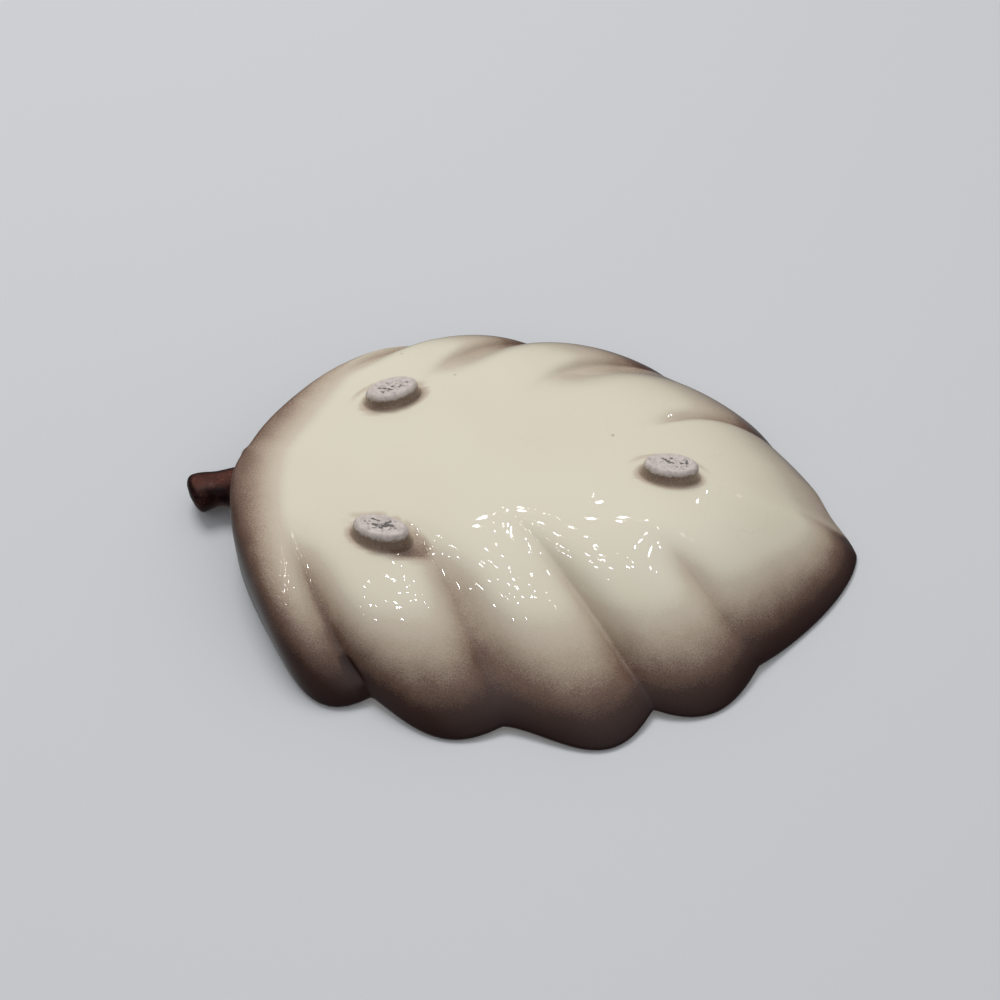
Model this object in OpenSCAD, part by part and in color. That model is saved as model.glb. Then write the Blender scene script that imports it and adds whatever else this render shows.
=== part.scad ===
// Leaf bowl: a slip-cast leaf with scalloped lobes, a stem stub and three feet.
// +X runs from the stem to the tip, +Z is up, and the feet stand on z = 0.

/* [Leaf] */
// Length of the leaf from its base to its tip, without the stem
leaf_l = 240; // [180:1:320]
// Half width of the left side, on the +Y side of the midrib
left_w = 87; // [70:1:110]
// Half width of the right side, on the -Y side of the midrib
right_w = 90; // [70:1:110]
// Height from the foot pads to the top of the rim
bowl_h = 45; // [32:1:70]
// Thickness of the cast wall
wall = 4.5; // [3:0.25:7]
// How far the rim dips at each notch
notch_dip = 2; // [0:0.25:5]
// Depth of the grooves between the lobes, halfway up the wall
groove_depth = 7; // [2:0.5:9]

/* [Feet] */
// Height of the feet below the flat underside
foot_h = 6; // [4:0.5:10]
// Length of a foot where it leaves the underside
foot_l = 27; // [18:0.5:32]
// Width of a foot where it leaves the underside
foot_w = 15; // [10:0.5:19]
// Length of the bare pad that a foot stands on
pad_l = 20; // [12:0.5:22]
// Width of the bare pad that a foot stands on
pad_w = 10.5; // [6:0.5:12]
// Turn of the left foot away from the midrib, in degrees
left_foot_turn = 8; // [0:1:45]
// Turn of the right foot away from the midrib, in degrees
right_foot_turn = 25; // [0:1:45]
// Gap between a foot or the stem and the wall that it follows
seat_gap = 0.3; // [0.2:0.05:0.6]

/* [Stem] */
// Reach of the stem from the base of the leaf
stem_l = 17.5; // [12:0.5:32]
// Diameter of the stem near its cut end
stem_end_d = 15.5; // [10:0.5:18]
// Diameter of the stem's waist
stem_waist_d = 13.5; // [8:0.5:15]
// Diameter of the stem's collar, where it grows out of the wall
stem_collar_d = 16.5; // [12:0.5:18]
// Shift of the collar to the right side
stem_shift = 1.5; // [0:0.25:4]
// Sideways bend of the stem towards the left side at its cut end
stem_bend = 5; // [0:0.5:8]
// Upward bend of the stem at its cut end
stem_lift = 1; // [0:0.5:4]
// Depth of the collar's middle below the top of the rim
stem_drop = 10; // [9.5:0.5:16]

/* [Detail] */
// Columns of facets on each lobe
lobe_steps = 12; // [6:1:14]
// Facets over the rounded lip
lip_steps = 4; // [2:1:6]
// Facets round a foot or the stem
round_steps = 32; // [16:4:48]

/* [Hidden] */

// Notches between the lobes, as shares of the leaf's length
left_notch_share = [0, 0.26, 0.46, 0.68, 0.84, 1];
right_notch_share = [0, 0.355, 0.48, 0.685, 0.87, 1];
// Places where the grooves would meet the midrib, as shares of the leaf's length
left_root_share = [0.06, 0.09, 0.195, 0.34, 0.60, 0.685];
right_root_share = [0.06, 0.10, 0.24, 0.43, 0.555, 0.685];
// Bow of each groove towards the tip, as a share of the side's width at its notch
left_bow_share = [-0.21, -0.11, 0.05, 0.04, -0.09, 0];
right_bow_share = [-0.165, -0.165, -0.135, -0.23, -0.23, 0];
// Depth of each groove, as a share of the full depth
left_groove_share = [0, 1, 1, 1, 0.7, 0];
right_groove_share = [0, 0.85, 1, 1.15, 1, 0];
// Swell of each lobe's edge beyond the notches, as shares of the leaf's length
left_bulge_share = [0.042, 0.027, 0.042, 0.032, -0.003];
right_bulge_share = [0.007, 0.019, 0.017, 0.014, -0.001];
// Powers that carry each lobe's highest point towards the tip
left_skew_share = [2.5, 1.25, 1.55, 0.95, 1];
right_skew_share = [3.2, 1.45, 1.9, 1.8, 1];
// Powers that round the base and draw out the tip of the smooth outline
left_power_share = [0.50, 0.65];
right_power_share = [0.90, 0.84];
// At each groove the underside is flat up to this share of the way from the midrib to the rim
flat_share = [0.25, 0.16, 0.12, 0.08, 0.07, 0];
// From there the wall rises by this power
rise_share = [2.8, 3.2, 3.3, 2.8, 3.1, 1.9];
// Up to this share of the way both sides share one midrib
join_share = 0.25;
// Shares of the way to the rim where the lobes start to swell, and where the grooves start,
// are deep and run out
swell_share = 0.25;
groove_span_share = [0.28, 0.70, 0.80];
dip_from_share = 0.5;
// Roundness of the grooves' bottoms at the midrib and at the rim, and power of their flanks
crease_round_share = [0.32, 0.02];
groove_power_share = 1.5;
// The wall is level over this power of the way to the rim
lip_power_share = 6;
// Reach from the midrib, as a share of the wall, over which the two sides' inner surfaces join
seam_share = 4;
// Rings of facets between the midrib and the rim
ring_share = [0, 0.14, 0.26, 0.36, 0.45, 0.53, 0.61, 0.69, 0.77, 0.84, 0.90, 0.945, 0.98, 1];
// Powers that crowd the facets at the base and at the tip
end_power_share = [2, 1.6];
// Places of the feet, as shares of the leaf's length and of the side's half width
left_foot_share = [0.258, 0.40];
right_foot_share = [0.24, -0.33];
tip_foot_share = [0.683, -0.048];
// Rings of a foot from the pad up: share of its height, and share of the way from pad to base
foot_ring_share = [[0, 0], [0.05, 0.1], [0.3, 0.22], [0.6, 0.4], [0.82, 0.66], [0.94, 0.85], [1, 1]];
// Rings over the seat of a foot or of the stem, as shares of its outline
seat_ring_share = [0.7, 0.35];
// Rings of the stem from the collar out: share of its reach, weight of collar and of cut end
stem_ring_share = [[0, 1, 0], [0.06, 0.8, 0], [0.14, 0.5, 0], [0.26, 0.2, 0], [0.42, 0, 0.05],
                   [0.62, 0, 0.45], [0.8, 0, 0.95], [0.9, 0, 1], [0.96, 0, 0.5], [0.99, 0, -0.9]];

nudge_share = 0.002;
tiny_share = 0.000001;
depth = bowl_h - foot_h - wall / 2;
lobes = len(flat_share) - 1;
side_cols = lobes * lobe_steps;
cols = 2 * side_cols;
left_side = [1, left_w, left_power_share, left_notch_share, left_bulge_share, left_skew_share,
             left_root_share, left_bow_share, left_groove_share];
right_side = [-1, right_w, right_power_share, right_notch_share, right_bulge_share, right_skew_share,
              right_root_share, right_bow_share, right_groove_share];

function clip(v) = max(0, min(1, v));
function soft(v) = let (c = clip(v)) c * c * (3 - 2 * c);
function unit(v) = v / norm(v);
function between(table, i, w) = table[i] + (table[i + 1] - table[i]) * w;

// Smooth outline of one side: distance from the midrib at share u of the length
function leaf_peak(p) = let (u = p[0] / (p[0] + p[1])) pow(u, p[0]) * pow(1 - u, p[1]);
function edge_y(side, u) =
    side[1] * pow(clip(u), side[2][0]) * pow(1 - clip(u), side[2][1]) / leaf_peak(side[2]);

// Outward direction of that outline
function edge_out(side, u) =
    let (a = clip(u - nudge_share), b = clip(u + nudge_share))
    unit([edge_y(side, a) - edge_y(side, b), (b - a) * leaf_l]);

// Crest of a lobe: 0 in the grooves beside it, 1 on its back
function crest(side, i, w, s) =
    let (sharp = sin(180 * pow(w, side[5][i])),
         r = crease_round_share[0] * (1 - soft(s)) + crease_round_share[1])
    (sqrt(sharp * sharp + r * r) - r) / (sqrt(1 + r * r) - r);

// Outer surface: lobe i, share w across the lobe, share s from the midrib to the rim
function skin(side, i, w, s) =
    let (u = between(side[3], i, w),
         own = between(side[6], i, w),
         middle = (between(left_root_share, i, w) + between(right_root_share, i, w)) / 2,
         root = leaf_l * (middle + (own - middle) * soft(s / join_share)),
         run = [leaf_l * u - root, edge_y(side, u)],
         across = norm(run) > 0 ? [run[1], -run[0]] / norm(run) : [0, 0],
         bow = 4 * between(side[7], i, w) * s * (1 - s) * run[1],
         back = crest(side, i, w, s),
         swell = leaf_l * side[4][i] * back * soft((s - swell_share) / (1 - swell_share)),
         flat = between(flat_share, i, w),
         start = groove_span_share[0],
         full = groove_span_share[1],
         end = groove_span_share[2],
         cut = soft((s - start) / (full - start)) * (1 - soft((s - end) / (1 - end))),
         groove = groove_depth * between(side[8], i, w) * pow(1 - back, groove_power_share) * cut,
         ends = i == 0 ? w : i == lobes - 1 ? 1 - w : 1,
         dip = notch_dip * (1 - back) * ends * soft((s - dip_from_share) / (1 - dip_from_share)),
         rise = depth * pow(clip((s - flat) / (1 - flat)), between(rise_share, i, w)),
         plan = [root, 0] + s * run + bow * across + swell * edge_out(side, u))
    [plan[0], side[0] * plan[1], foot_h + rise + groove - dip];

// Columns run along the left side from base to tip and back along the right side
function col_share(i, j) =
    let (t = j / lobe_steps)
    i == 0 ? pow(t, end_power_share[0]) : i == lobes - 1 ? 1 - pow(1 - t, end_power_share[1]) : t;
function col_point(side, c, s) =
    let (i = min(lobes - 1, floor(c / lobe_steps)))
    skin(side, i, col_share(i, c - i * lobe_steps), s);
function ring(s) = [for (c = [0 : cols - 1])
    c <= side_cols ? col_point(left_side, c, s) : col_point(right_side, cols - c, s)];

outer = [for (s = ring_share) ring(s)];
rings = len(ring_share);

// Directions on the outer surface at a grid point: towards the rim, and round the leaf
function along(r, c) = unit(outer[min(rings - 1, r + 1)][c] - outer[max(0, r - 1)][c]);
function around(r, c) = unit(outer[r][(c + 1) % cols] - outer[r][(c + cols - 1) % cols]);

// The inner surface stands one wall up from the flat and one wall in from the rim
function inner_point(r, c) = r == 0 ? outer[r][c] + [0, 0, wall] :
    let (s = ring_share[r],
         level = pow(s, lip_power_share),
         t = around(r, c),
         n = unit(cross(t, along(r, c))),
         in = min(s, max(sqrt(1 - n[2] * n[2]), level)),
         y = abs(outer[r][c][1]) / (seam_share * wall),
         way = in * unit([t[1], -t[0], 0]))
    outer[r][c] + wall * [way[0], way[1] * soft(y), n[2] * (1 - level)];
inner = [for (r = [0 : rings - 1]) [for (c = [0 : cols - 1]) inner_point(r, c)]];
lip = [for (k = [1 : lip_steps - 1]) [for (c = [0 : cols - 1])
    let (r = rings - 1, a = 180 * k / lip_steps)
    outer[r][c] + (inner[r][c] - outer[r][c]) * (1 - cos(a)) / 2 + wall / 2 * sin(a) * along(r, c)]];

// The midrib's points are shared by both sides
function midrib(grid) = [for (c = [0 : side_cols]) grid[0][c]];
function flat_list(grid, first) = [for (r = [first : len(grid) - 1]) for (p = grid[r]) p];
spine = side_cols + 1;
half = spine + (rings - 1) * cols;
function fold(c) = c <= side_cols ? c : cols - c;
function outer_id(r, c) = r == 0 ? fold(c % cols) : spine + (r - 1) * cols + c % cols;
function inner_id(r, c) = half + outer_id(r, c);
function lip_id(k, c) =
    k == 0 ? outer_id(rings - 1, c)
    : k == lip_steps ? inner_id(rings - 1, c)
    : 2 * half + (k - 1) * cols + c % cols;
function quad(a, b, c, d) = [[a, b, c], [a, c, d]];

// Next to the tip and the base the corners of a quad line up, so it is split the other way
function grid_quad(col, a, b, c, d) = (col + 1) % side_cols == 0 ? quad(b, c, d, a) : quad(a, b, c, d);

shell_points = concat(midrib(outer), flat_list(outer, 1), midrib(inner), flat_list(inner, 1),
                      flat_list(lip, 0));
outer_faces = [for (r = [0 : rings - 2]) for (c = [0 : cols - 1])
    for (f = grid_quad(c, outer_id(r, c), outer_id(r, c + 1), outer_id(r + 1, c + 1),
                       outer_id(r + 1, c))) f];
inner_faces = [for (r = [0 : rings - 2]) for (c = [0 : cols - 1])
    for (f = grid_quad(c, inner_id(r, c), inner_id(r + 1, c), inner_id(r + 1, c + 1),
                       inner_id(r, c + 1))) f];
lip_faces = [for (k = [0 : lip_steps - 1]) for (c = [0 : cols - 1])
    for (f = quad(lip_id(k, c), lip_id(k, c + 1), lip_id(k + 1, c + 1), lip_id(k + 1, c))) f];

// Facets of the wall that a piece of radius r round point p may meet, looked at along one axis
function touches(t, p, r, axis) =
    min([for (v = t) v[axis]]) <= p[axis] + r && max([for (v = t) v[axis]]) >= p[axis] - r;
function facets_near(faces, p, r, axes) = [for (f = faces)
    let (t = [for (v = f) shell_points[v]])
    if (touches(t, p, r, axes[0]) && touches(t, p, r, axes[1])) t];

// Distance from point p along direction d to the first of the facets
function to_facet(t, p, d) =
    let (e = t[1] - t[0], g = t[2] - t[0], h = cross(d, g), a = e * h)
    a == 0 ? -1 :
    let (o = p - t[0], u = (o * h) / a, q = cross(o, e), v = (d * q) / a)
    u < -tiny_share || v < -tiny_share || u + v > 1 + tiny_share ? -1 : (g * q) / a;
function to_wall(facets, p, d) =
    min([for (t = facets) let (k = to_facet(t, p, d)) if (k >= 0) k]);

// Points moved along direction d until they are one gap short of the wall
function seated(points, facets, d) = [for (p = points) p + (to_wall(facets, p, d) - seat_gap) * d];

// The stem grows out of the wall at the base of the leaf, then bends to the left and up
stem_root = [0, -stem_shift, bowl_h - stem_drop];
stem_facets = facets_near(concat(outer_faces, lip_faces), stem_root, stem_collar_d / 2, [1, 2]);
function stem_line(t) = stem_root + [-stem_l * t, stem_bend * t * t, stem_lift * t * t];
function stem_radius(f) =
    (stem_waist_d + (stem_collar_d - stem_waist_d) * f[1] + (stem_end_d - stem_waist_d) * f[2]) / 2;
function stem_ring(t, r) =
    let (d = unit([-stem_l, 2 * stem_bend * t, 2 * stem_lift * t]),
         side = unit([-d[1], d[0], 0]),
         up = cross(d, side))
    [for (k = [0 : round_steps - 1])
        let (a = 360 * k / round_steps)
        stem_line(t) + r * (cos(a) * side + sin(a) * up)];
function stem_seat(share) =
    seated([for (p = stem_ring(0, share * stem_collar_d / 2)) p - [stem_l, 0, 0]], stem_facets, [1, 0, 0]);
stem_loops = concat(
    [for (k = [len(seat_ring_share) - 1 : -1 : 0]) stem_seat(seat_ring_share[k])],
    [stem_seat(1)],
    [for (k = [1 : len(stem_ring_share) - 1])
        let (f = stem_ring_share[k])
        stem_ring(f[0], stem_radius(f))]);

// The part stands in the middle of its own box
rim_points = concat(outer[rings - 1], flat_list(lip, 0));
mid_x = (max([for (p = rim_points) p[0]]) + min([for (p = flat_list(stem_loops, 0)) p[0]])) / 2;
mid_y = (max([for (p = rim_points) p[1]]) + min([for (p = rim_points) p[1]])) / 2;

module centred() {
    translate([-mid_x, -mid_y, 0]) children();
}

module cast_wall() {
    polyhedron(points = shell_points, faces = concat(outer_faces, inner_faces, lip_faces),
               convexity = 10);
}

// Solid made of closed rings of points, each with the same count, between two end points
module lofted(start, loops, end) {
    n = len(loops[0]);
    m = len(loops);
    last = m * n + 1;
    polyhedron(
        points = concat([start], [for (l = loops) for (p = l) p], [end]),
        faces = concat(
            [for (k = [0 : n - 1]) [0, k + 1, (k + 1) % n + 1]],
            [for (k = [0 : n - 1]) [last, (m - 1) * n + (k + 1) % n + 1, (m - 1) * n + k + 1]],
            [for (r = [0 : m - 2]) for (k = [0 : n - 1])
                let (a = r * n + k + 1, b = r * n + (k + 1) % n + 1)
                for (f = quad(a, a + n, b + n, b)) f]),
        convexity = 4);
}

function oval(middle, l, w, turn) = [for (k = [0 : round_steps - 1])
    let (a = 360 * k / round_steps, x = l / 2 * cos(a), y = w / 2 * sin(a))
    middle + [x * cos(turn) - y * sin(turn), x * sin(turn) + y * cos(turn), 0]];

// A foot stands on its pad, and its wider end follows the underside of the wall
module grown_foot(place, turn) {
    facets = facets_near(outer_faces, place, foot_l / 2, [0, 1]);
    up = [0, 0, 1];
    base = seated(oval(place, foot_l, foot_w, turn), facets, up);
    skirt = [for (f = foot_ring_share)
        let (ring = oval(place, pad_l + (foot_l - pad_l) * f[1], pad_w + (foot_w - pad_w) * f[1], turn))
        [for (k = [0 : round_steps - 1]) [ring[k][0], ring[k][1], base[k][2] * f[0]]]];
    seat = [for (share = seat_ring_share)
        seated(oval(place, share * foot_l, share * foot_w, turn), facets, up)];
    color("wheat") centred() lofted(place, concat(skirt, seat), seated([place], facets, up)[0]);
}

module leaf_shell() {
    color("cornsilk") centred() cast_wall();
}

module left_foot() {
    grown_foot([leaf_l * left_foot_share[0], left_w * left_foot_share[1], 0], left_foot_turn);
}

module right_foot() {
    grown_foot([leaf_l * right_foot_share[0], right_w * right_foot_share[1], 0], -right_foot_turn);
}

module tip_foot() {
    grown_foot([leaf_l * tip_foot_share[0], right_w * tip_foot_share[1], 0], 0);
}

module stem() {
    color("#3a2220") centred() lofted(stem_seat(0)[0], stem_loops, stem_line(1));
}

leaf_shell();
stem();
left_foot();
right_foot();
tip_foot();
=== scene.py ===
import bpy
import numpy as np
from mathutils import Matrix, Vector
from mathutils.bvhtree import BVHTree


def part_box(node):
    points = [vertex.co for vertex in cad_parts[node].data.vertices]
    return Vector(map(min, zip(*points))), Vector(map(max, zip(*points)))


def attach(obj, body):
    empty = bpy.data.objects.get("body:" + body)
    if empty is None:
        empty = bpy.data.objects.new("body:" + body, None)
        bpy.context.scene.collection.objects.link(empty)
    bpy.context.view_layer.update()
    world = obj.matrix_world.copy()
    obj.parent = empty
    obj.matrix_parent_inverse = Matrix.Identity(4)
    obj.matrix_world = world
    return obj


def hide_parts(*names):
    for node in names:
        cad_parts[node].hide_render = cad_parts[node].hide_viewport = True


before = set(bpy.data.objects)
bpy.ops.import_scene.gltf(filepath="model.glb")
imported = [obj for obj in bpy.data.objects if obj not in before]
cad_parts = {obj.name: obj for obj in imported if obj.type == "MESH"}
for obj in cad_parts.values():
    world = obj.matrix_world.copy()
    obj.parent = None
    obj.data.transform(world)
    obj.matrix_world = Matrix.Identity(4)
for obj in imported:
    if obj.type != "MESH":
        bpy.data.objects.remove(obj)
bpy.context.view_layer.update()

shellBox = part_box("leaf_shell")
mm = 0.001
print("frame loaded,", len(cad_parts), "nodes")


# leaf: lobes, grooves and wall, as shares of its length and half widths
# on each side, w runs across a lobe from 0 to 1 and s from the midrib to the rim

leaf = {
    "length": 240 * mm,
    "leftWidth": 87 * mm,
    "rightWidth": 90 * mm,
    "wall": 4.5 * mm,
    "underside": shellBox[0].z,          # height of the flat underside
    "rim": shellBox[1].z,                # height of the top of the rim
    "notchDip": 2 * mm, "dipFrom": 0.5,  # the rim dips at the notches, from this share of the way to it
    "flats": [0.28, 0.16, 0.12, 0.08, 0.07, 0],          # flat this far from the midrib, at each groove
    "rises": [3.0, 3.2, 3.3, 2.8, 3.1, 1.9],             # then the wall rises by this power
    "ownRoots": 0.25,                    # from here each side's grooves have their own roots
    "creaseRound": 0.14,                 # a groove is this much rounder at the midrib than at the rim
    "creaseLeast": 0.02,
    "swellFrom": 0.25,                   # the lobes swell from this share of the way to the rim
    "grooveFrom": 0.28, "grooveFull": 0.70,
    "grooveEnd": 0.80,                   # from here to the rim the grooves run out
    "pinchAcross": 0.48,                 # the tip lobe is drawn in from this share of its width
    "pinchFrom": 0.4, "pinchFull": 0.9,
    "outlineStep": 0.002,
}
leafMesh = {
    "lobeColumns": 44,
    "baseCrowding": 2, "tipCrowding": 1.6,           # powers that draw the columns to the base and the tip
    "rings": 56, "ringCrowding": 1.35,
    "lipRings": 9,
    "keelColumns": 14, "keelPasses": 40, "keelEnd": 0.78,
    "levelPower": 6,                     # near the rim the wall's thickness is measured level
    "midribFade": 18 * mm,               # nearer to the midrib than this, less of it goes sideways
    "evenBelow": 0.25,                   # the inner wall is evened out where its steps shrink to this
    "evenAlike": 0.75,                   # or where it turns further than this from the outer wall
    "evenPasses": 90, "evenReach": 4, "evenAlong": 0.2,
    "seamColumns": 7, "seamPasses": 25,
}
leftSide = {
    "sign": 1, "width": leaf["leftWidth"], "powers": (0.50, 0.65),
    "roots": [0.055, 0.09, 0.195, 0.34, 0.60, 0.685],    # where the grooves would meet the midrib
    "notches": [0, 0.26, 0.46, 0.68, 0.84, 1],           # where they meet the rim
    "bows": [-0.21, -0.11, 0.05, 0.04, -0.09, 0],
    "grooves": [0, 7 * mm, 7 * mm, 7 * mm, 5 * mm, 0],
    "bulges": [0.042, 0.027, 0.042, 0.032, -0.003],
    "skews": [2.5, 1.25, 1.55, 0.95, 1],
    "groovePower": 1.8, "pinch": 0,
}
rightSide = {
    "sign": -1, "width": leaf["rightWidth"], "powers": (0.90, 0.84),
    "roots": [0.055, 0.10, 0.24, 0.43, 0.555, 0.685],
    "notches": [0, 0.355, 0.48, 0.685, 0.87, 1],
    "bows": [-0.165, -0.165, -0.135, -0.23, -0.23, 0],
    "grooves": [0, 4 * mm, 3.5 * mm, 4 * mm, 4 * mm, 0],
    "bulges": [0.007, 0.019, 0.017, 0.014, 0.006],
    "skews": [3.2, 1.45, 1.9, 1.8, 0.55],
    "groovePower": 3, "pinch": 1.5 * mm,                 # the outline is drawn in before the tip
}
lobeCount = len(leftSide["bulges"])


def clip01(v):
    return np.clip(v, 0.0, 1.0)


def soft(v):
    c = clip01(v)
    return c * c * (3 - 2 * c)


def unit(v):
    return v / np.maximum(np.linalg.norm(v, axis=-1, keepdims=True), 1e-12)


def between(values, lobe, w):
    # a value that is given at each groove, across the lobe between two of them
    v = np.array(values, float)
    return v[lobe] + (v[lobe + 1] - v[lobe]) * w


def crestShare(side, lobe, w):
    # 0 in the grooves and 1 along the crest of each lobe
    return np.sin(np.pi * w ** np.array(side["skews"])[lobe])


def outlineY(side, u):
    a, b = side["powers"]
    peak = a / (a + b)
    return side["width"] * clip01(u) ** a * (1 - clip01(u)) ** b / (peak ** a * (1 - peak) ** b)


def outlineOut(side, u):
    # the level direction that leads out of the leaf
    before, after = clip01(u - leaf["outlineStep"]), clip01(u + leaf["outlineStep"])
    return unit(np.stack([outlineY(side, before) - outlineY(side, after),
                          (after - before) * leaf["length"]], -1))


def sideColumns():
    lobe, across = [], []
    t = np.arange(leafMesh["lobeColumns"]) / leafMesh["lobeColumns"]
    for i in range(lobeCount):
        lobe += [i] * len(t)
        if i == 0:
            across += list(t ** leafMesh["baseCrowding"])
        elif i == lobeCount - 1:
            across += list(1 - (1 - t) ** leafMesh["tipCrowding"])
        else:
            across += list(t)
    return np.array(lobe + [lobeCount - 1]), np.array(across + [1.0])


def skin(side, lobe, w, s):
    # outer surface: one row for each share s from the midrib to the rim, one column for each w
    s = s[:, None]
    u = between(side["notches"], lobe, w)
    ownRoot = between(side["roots"], lobe, w)
    middle = (between(leftSide["roots"], lobe, w) + between(rightSide["roots"], lobe, w)) / 2
    root = leaf["length"] * (middle + (ownRoot - middle) * soft(s / leaf["ownRoots"]))
    run = np.stack([leaf["length"] * u - root, outlineY(side, u) + 0 * root], -1)
    across = unit(np.stack([run[..., 1], -run[..., 0]], -1))

    crest = crestShare(side, lobe, w)
    rounding = leaf["creaseRound"] * (1 - soft(s)) + leaf["creaseLeast"]
    crest = (np.sqrt(crest ** 2 + rounding ** 2) - rounding) / (np.sqrt(1 + rounding ** 2) - rounding)
    bulge = leaf["length"] * np.array(side["bulges"])[lobe] * crest
    swell = bulge * soft((s - leaf["swellFrom"]) / (1 - leaf["swellFrom"]))
    drawnIn = clip01((w - leaf["pinchAcross"]) / (1 - leaf["pinchAcross"]))
    pinch = side["pinch"] * np.sin(np.pi * drawnIn) ** 2 * (lobe == lobeCount - 1)
    swell = swell - pinch * soft((s - leaf["pinchFrom"]) / (leaf["pinchFull"] - leaf["pinchFrom"]))
    bow = 4 * between(side["bows"], lobe, w) * s * (1 - s) * run[..., 1]
    plan = (np.stack([root, 0 * root], -1) + s[..., None] * run
            + bow[..., None] * across + swell[..., None] * outlineOut(side, u))

    depth = leaf["rim"] - leaf["underside"] - leaf["wall"] / 2
    flat = between(leaf["flats"], lobe, w)
    rise = depth * clip01((s - flat) / (1 - flat)) ** between(leaf["rises"], lobe, w)
    grooved = soft((s - leaf["grooveFrom"]) / (leaf["grooveFull"] - leaf["grooveFrom"]))
    runOut = 1 - soft((s - leaf["grooveEnd"]) / (1 - leaf["grooveEnd"]))
    groove = between(side["grooves"], lobe, w) * (1 - crest) ** side["groovePower"]
    rise = rise + groove * grooved * runOut
    ends = np.where(lobe == 0, w, np.where(lobe == lobeCount - 1, 1 - w, 1.0))
    dip = leaf["notchDip"] * (1 - crest) * ends * soft((s - leaf["dipFrom"]) / (1 - leaf["dipFrom"]))
    return np.stack([plan[..., 0], side["sign"] * plan[..., 1], leaf["underside"] + rise - dip], -1)


def bothSides(sideValues):
    # columns run along the left side from base to tip and back along the right side
    lobe, w = sideColumns()
    left = sideValues(leftSide, lobe, w, ringShares())
    right = sideValues(rightSide, lobe, w, ringShares())
    return np.concatenate([left, right[:, -2:0:-1]], axis=1)


def ringShares():
    t = np.linspace(0, 1, leafMesh["rings"] + 1)
    return 1 - (1 - t) ** leafMesh["ringCrowding"]


def softenKeel(grid):
    # rounds the fold where the two sides meet between the last root and the tip
    middle = grid.shape[1] // 2
    reach = leafMesh["keelColumns"]
    span = np.arange(middle - reach, middle + reach + 1)
    near = soft(1 - np.abs(span - middle) / reach)[None, :, None]
    inside = 1 - soft((ringShares() - leafMesh["keelEnd"]) / (1 - leafMesh["keelEnd"]))
    part = grid[:, span]
    for k in range(leafMesh["keelPasses"]):
        even = part.copy()
        even[:, 1:-1] = (part[:, 2:] + 2 * part[:, 1:-1] + part[:, :-2]) / 4
        part = part + near * inside[:, None, None] * (even - part)
    grid[:, span] = part
    return grid


def wallDirections(grid):
    # at each point, the way to the rim and the way round the leaf
    along = np.empty_like(grid)
    along[1:-1] = grid[2:] - grid[:-2]
    along[0] = grid[1] - grid[0]
    along[-1] = grid[-1] - grid[-2]
    around = np.roll(grid, -1, 1) - np.roll(grid, 1, 1)
    return unit(along), unit(around)


def wallNormals(grid):
    along, around = wallDirections(grid)
    return unit(np.cross(around, along))


def innerWall(outer):
    # one wall up from the flat underside and one wall in from the rim
    around = wallDirections(outer)[1]
    s = ringShares()[:, None, None]
    level = s ** leafMesh["levelPower"]
    normal = wallNormals(outer)
    lean = np.sqrt(np.maximum(1 - normal[..., 2:] ** 2, 0))
    inward = unit(np.stack([around[..., 1], -around[..., 0], 0 * around[..., 0]], -1))
    inward = inward * np.minimum(s, np.maximum(lean, level))
    inward[..., 1:2] *= soft(np.abs(outer[..., 1:2]) / leafMesh["midribFade"])
    inner = outer + leaf["wall"] * (inward + normal * [0, 0, 1] * (1 - level))
    inner[0] = outer[0] + [0, 0, leaf["wall"]]
    return untangle(inner, outer)


def untangle(inner, outer):
    # where a tight fold makes the inner wall cross itself, it is evened out
    seam = np.zeros(inner.shape[:2], bool)
    seam[:, :leafMesh["seamColumns"]] = True
    seam[:, -leafMesh["seamColumns"]:] = True
    ahead = np.roll(outer, -1, 1) - outer
    least = leafMesh["evenBelow"] * (ahead * ahead).sum(-1)
    facing = wallNormals(outer)
    for k in range(leafMesh["evenPasses"]):
        step = np.roll(inner, -1, 1) - inner
        alike = (wallNormals(inner) * facing).sum(-1)
        bad = (alike < leafMesh["evenAlike"]) | ((step * ahead).sum(-1) < least)
        near = bad.copy()
        for columns in range(-leafMesh["evenReach"], leafMesh["evenReach"] + 2):
            near |= np.roll(bad, columns, 1)
        near[1:-1] |= near[:-2] | near[2:]
        near |= seam & (k < leafMesh["seamPasses"])
        near[0] = False
        even = (np.roll(inner, 1, 1) + np.roll(inner, -1, 1)) / 2
        fromRings = (inner[:-2] + inner[2:]) * leafMesh["evenAlong"]
        even[1:-1] = even[1:-1] * (1 - 2 * leafMesh["evenAlong"]) + fromRings
        inner = np.where(near[..., None], (inner + even) / 2, inner)
    print("inner wall evened out, folds left", int(bad[1:].sum()))
    return inner


def roundedLip(outer, inner):
    along = wallDirections(outer)[0][-1]
    lip = []
    for k in range(1, leafMesh["lipRings"]):
        angle = np.pi * k / leafMesh["lipRings"]
        rim = outer[-1] + (inner[-1] - outer[-1]) * (1 - np.cos(angle)) / 2
        lip.append(rim + leaf["wall"] / 2 * np.sin(angle) * along)
    return np.array(lip)


def gridFaces(rows):
    # faces between rows of points, each row closed; a point that repeats in a face is dropped
    faces = []
    count = rows.shape[1]
    for r in range(rows.shape[0] - 1):
        for c in range(count):
            d = (c + 1) % count
            face = [rows[r, c], rows[r, d], rows[r + 1, d], rows[r + 1, c]]
            face = [v for k, v in enumerate(face) if v != face[k - 1]]
            if len(face) > 2:
                faces.append(face)
    return faces


def newPiece(name, points, faces, node):
    mesh = bpy.data.meshes.new(name)
    mesh.from_pydata([tuple(p) for p in points], [], faces)
    mesh.validate()
    mesh.polygons.foreach_set("use_smooth", [True] * len(mesh.polygons))
    piece = bpy.data.objects.new(name, mesh)
    bpy.context.scene.collection.objects.link(piece)
    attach(piece, "root")
    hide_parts(node)
    return piece


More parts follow.
